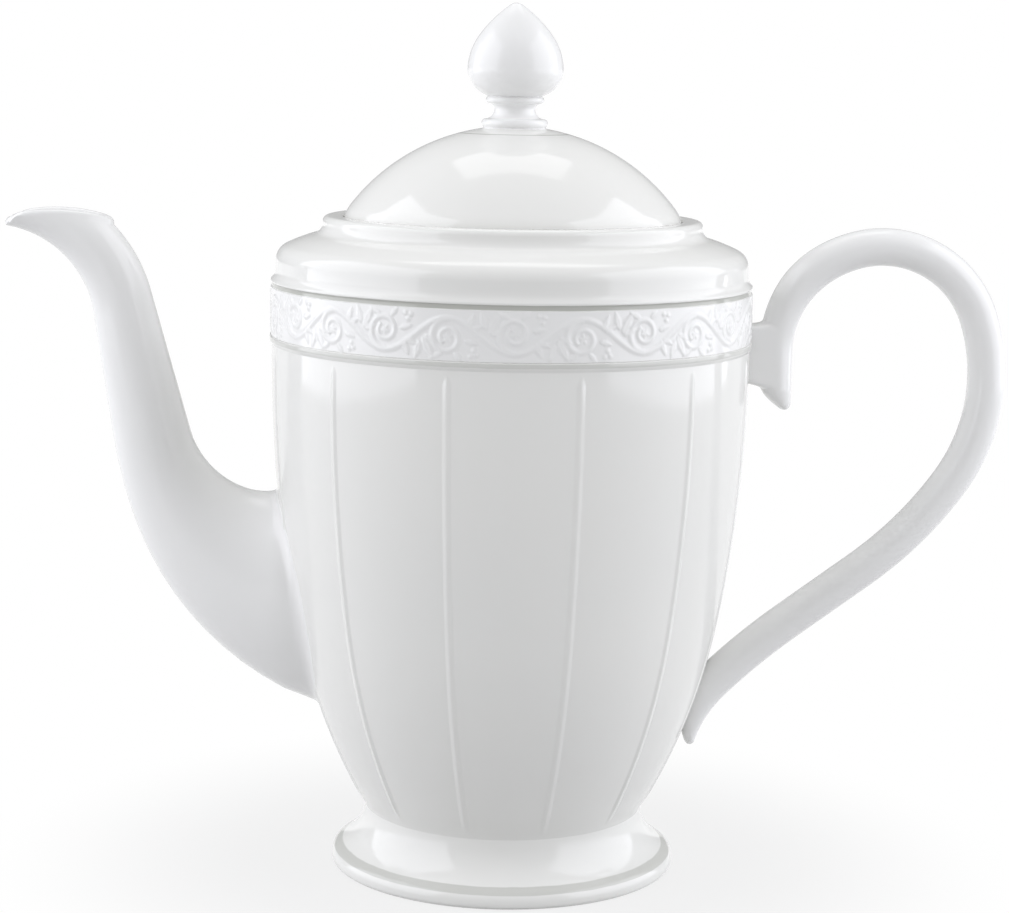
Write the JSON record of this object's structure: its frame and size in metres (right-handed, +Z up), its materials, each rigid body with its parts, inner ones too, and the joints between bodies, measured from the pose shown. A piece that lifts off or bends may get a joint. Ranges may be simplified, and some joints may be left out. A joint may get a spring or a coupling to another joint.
{
  "type": "coffee pot",
  "caption": "Tall footed porcelain coffee pot with fluted wall, relief frieze, curved pouring spout, scrolled strap handle and a domed lift-off lid with a pointed knob.",
  "frame": {"origin": "on the pot's axis, at the bottom of the foot ring", "axes": "+X towards the handle, +Y away from the viewer of the pictured side, +Z up along the pot's axis"},
  "size_m": [0.2769, 0.1336, 0.24],
  "materials": {
    "porcelain": "glossy clear glaze over white porcelain, with fine grey painted lines"
  },
  "bodies": {
    "pot": {"pot_body": "porcelain", "foot": "porcelain", "spout": "porcelain", "handle": "porcelain"},
    "lid": {"lid": "porcelain", "lid_knob": "porcelain"}
  },
  "joints": [
    {"name": "lid_lift", "type": "slide", "parent": "pot", "child": "lid", "axis": [0, 0, 1], "range_m": [0, 0.08]}
  ]
}
